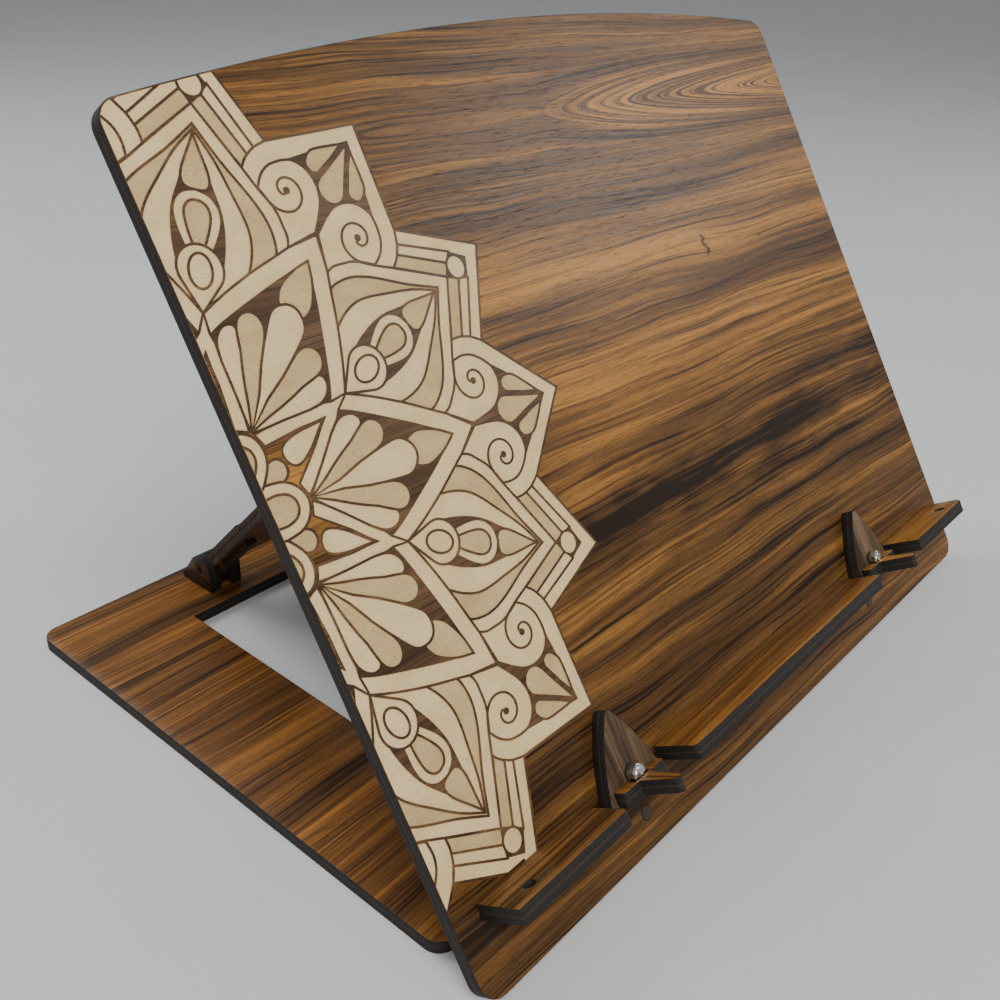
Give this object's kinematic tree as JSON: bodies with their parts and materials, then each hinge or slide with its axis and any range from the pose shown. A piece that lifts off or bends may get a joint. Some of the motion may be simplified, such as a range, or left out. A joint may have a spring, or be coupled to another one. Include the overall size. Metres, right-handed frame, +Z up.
{
  "type": "folding book stand",
  "caption": "Folding reading stand of laser-cut walnut-faced sheets: tilted board with an engraved rosette and segmented ledge, swivelling page holders, propping frame and open base.",
  "frame": {"origin": "on the table, under the middle of the stand's box in X and Y", "axes": "+X to the reader's right along the board, +Y from the reader towards the back, +Z up"},
  "size_m": [0.4, 0.3024, 0.2787],
  "materials": {
    "walnut_sheet": "walnut-grain melamine face, satin, with charred laser-cut edges",
    "dowel": "dark stained dowel",
    "dark_screw": "blackened",
    "black_washer": "matt black",
    "zinc_nut": "bright zinc"
  },
  "bodies": {
    "base": {"base_bottom_sheet": "walnut_sheet", "base_top_sheet": "walnut_sheet", "front_plate_left_outer": "walnut_sheet", "front_plate_left_inner": "walnut_sheet", "front_plate_right_outer": "walnut_sheet", "front_plate_right_inner": "walnut_sheet", "rear_plate_left_outer": "walnut_sheet", "rear_plate_left_inner": "walnut_sheet", "rear_plate_right_outer": "walnut_sheet", "rear_plate_right_inner": "walnut_sheet", "front_pin_left": "dowel", "front_pin_right": "dowel", "strut_pin_left": "dowel", "strut_pin_right": "dowel"},
    "board": {"board_front_sheet": "walnut_sheet", "board_back_sheet": "walnut_sheet", "ledge_left_upper": "walnut_sheet", "ledge_left_lower": "walnut_sheet", "ledge_middle_upper": "walnut_sheet", "ledge_middle_lower": "walnut_sheet", "ledge_right_upper": "walnut_sheet", "ledge_right_lower": "walnut_sheet", "rack_left": "walnut_sheet", "rack_right": "walnut_sheet", "board_knuckle_left": "walnut_sheet", "board_knuckle_right": "walnut_sheet", "hinge_screws": "dark_screw"},
    "strut": {"strut_front_sheet": "walnut_sheet", "strut_rear_sheet": "walnut_sheet", "strut_knuckle_left": "walnut_sheet", "strut_knuckle_right": "walnut_sheet"},
    "holder_left": {"holder_left_sail": "walnut_sheet", "holder_left_lever_upper": "walnut_sheet", "holder_left_lever_lower": "walnut_sheet", "holder_left_washer": "black_washer", "holder_left_nut": "zinc_nut", "holder_left_screw": "zinc_nut"},
    "holder_right": {"holder_right_sail": "walnut_sheet", "holder_right_lever_upper": "walnut_sheet", "holder_right_lever_lower": "walnut_sheet", "holder_right_washer": "black_washer", "holder_right_nut": "zinc_nut", "holder_right_screw": "zinc_nut"}
  },
  "joints": [
    {"name": "board_tilt", "type": "hinge", "parent": "base", "child": "board", "pos_m": [0, -0.11882, 0.014], "axis": [1, 0, 0], "range_deg": [0, 4]},
    {"name": "strut_fold", "type": "hinge", "parent": "base", "child": "strut", "pos_m": [0, 0.12918, 0.016], "axis": [1, 0, 0], "range_deg": [0, 46.4]},
    {"name": "holder_left_swivel", "type": "hinge", "parent": "board", "child": "holder_left", "pos_m": [-0.1055, -0.12559, 0.03456], "axis": [0, -0.8387, 0.5446], "range_deg": [-70, 70]},
    {"name": "holder_right_swivel", "type": "hinge", "parent": "board", "child": "holder_right", "pos_m": [0.1055, -0.12559, 0.03456], "axis": [0, -0.8387, 0.5446], "range_deg": [-70, 70]}
  ]
}
